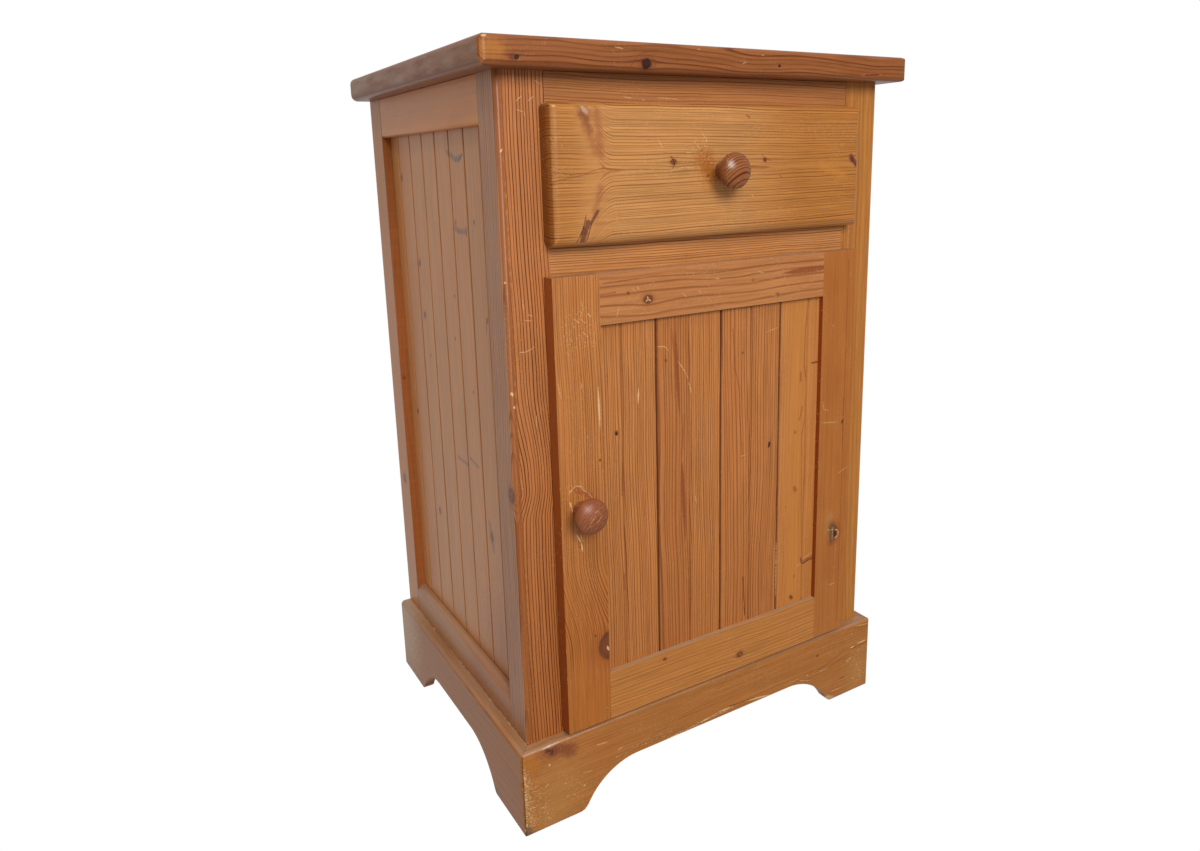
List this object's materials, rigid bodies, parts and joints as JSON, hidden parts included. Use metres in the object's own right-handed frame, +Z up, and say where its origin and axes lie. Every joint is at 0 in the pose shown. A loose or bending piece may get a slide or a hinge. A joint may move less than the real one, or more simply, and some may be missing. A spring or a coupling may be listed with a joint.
{
  "type": "jam cupboard",
  "caption": "Small free-standing pine cupboard with boarded sides, a drawer over a panelled door, and a shaped plinth.",
  "frame": {"origin": "centre of the overall width and depth, on the floor under the feet", "axes": "+Z up, +Y towards the back, so the door and drawer face -Y; +X towards the hinged side of the door"},
  "size_m": [0.492, 0.4018, 0.75],
  "materials": {
    "pine_top": "satin lacquer over stained pine",
    "pine_frame": "satin lacquer over stained pine",
    "pine_side_boards": "satin lacquer over stained pine",
    "pine_plinth": "satin lacquer over stained pine",
    "pine_door": "satin lacquer over stained pine",
    "pine_drawer_front": "satin lacquer over stained pine",
    "pine_drawer_box": "bare pine",
    "pine_inside": "bare pine",
    "knob_wood": "turned and lacquered",
    "hinge_brass": "dull plated brass",
    "screw_steel": "zinc plated",
    "catch_steel": "plain steel",
    "catch_plastic": "moulded"
  },
  "bodies": {
    "carcass": {"top_board": "pine_top", "front_post_left": "pine_frame", "front_post_right": "pine_frame", "rear_stile_left": "pine_frame", "rear_stile_right": "pine_frame", "side_top_rail_left": "pine_frame", "side_top_rail_right": "pine_frame", "side_bottom_rail_left": "pine_frame", "side_bottom_rail_right": "pine_frame", "front_top_rail": "pine_frame", "front_mid_rail": "pine_frame", "front_bottom_rail": "pine_frame", "side_boards_left": "pine_side_boards", "side_boards_right": "pine_side_boards", "rear_top_rail": "pine_inside", "rear_bottom_rail": "pine_inside", "back_boards": "pine_inside", "bottom_board": "pine_inside", "bottom_bearers": "pine_inside", "shelf": "pine_inside", "shelf_bearers": "pine_inside", "drawer_runner_left": "pine_inside", "drawer_runner_right": "pine_inside", "drawer_guides": "pine_inside", "drawer_kickers": "pine_inside", "plinth_front": "pine_plinth", "plinth_left": "pine_plinth", "plinth_right": "pine_plinth", "hinge_post_leaf_upper": "hinge_brass", "hinge_post_leaf_lower": "hinge_brass", "hinge_pins": "hinge_brass", "hinge_post_screws": "hinge_brass", "back_nails": "screw_steel", "top_screws": "screw_steel", "catch_screws": "screw_steel", "catch_body": "catch_plastic", "catch_magnet": "catch_steel"},
    "door": {"door_stile_left": "pine_door", "door_stile_right": "pine_door", "door_top_rail": "pine_door", "door_bottom_rail": "pine_door", "door_boards": "pine_door", "door_knob": "knob_wood", "door_knob_screw": "screw_steel", "hinge_door_leaf_upper": "hinge_brass", "hinge_door_leaf_lower": "hinge_brass", "hinge_door_screws": "hinge_brass", "catch_plate": "catch_steel", "catch_plate_screw": "screw_steel"},
    "drawer": {"drawer_front": "pine_drawer_front", "drawer_box_front": "pine_drawer_box", "drawer_side_left": "pine_drawer_box", "drawer_side_right": "pine_drawer_box", "drawer_back": "pine_drawer_box", "drawer_bottom": "pine_drawer_box", "drawer_knob": "knob_wood", "drawer_knob_screw": "screw_steel", "drawer_front_screws": "screw_steel"}
  },
  "joints": [
    {"name": "door_hinge", "type": "hinge", "parent": "carcass", "child": "door", "pos_m": [0.1897, -0.15668, 0.3245], "axis": [0, 0, 1], "range_deg": [0, 110]},
    {"name": "drawer_slide", "type": "slide", "parent": "carcass", "child": "drawer", "axis": [0, -1, 0], "range_m": [0, 0.25]}
  ]
}
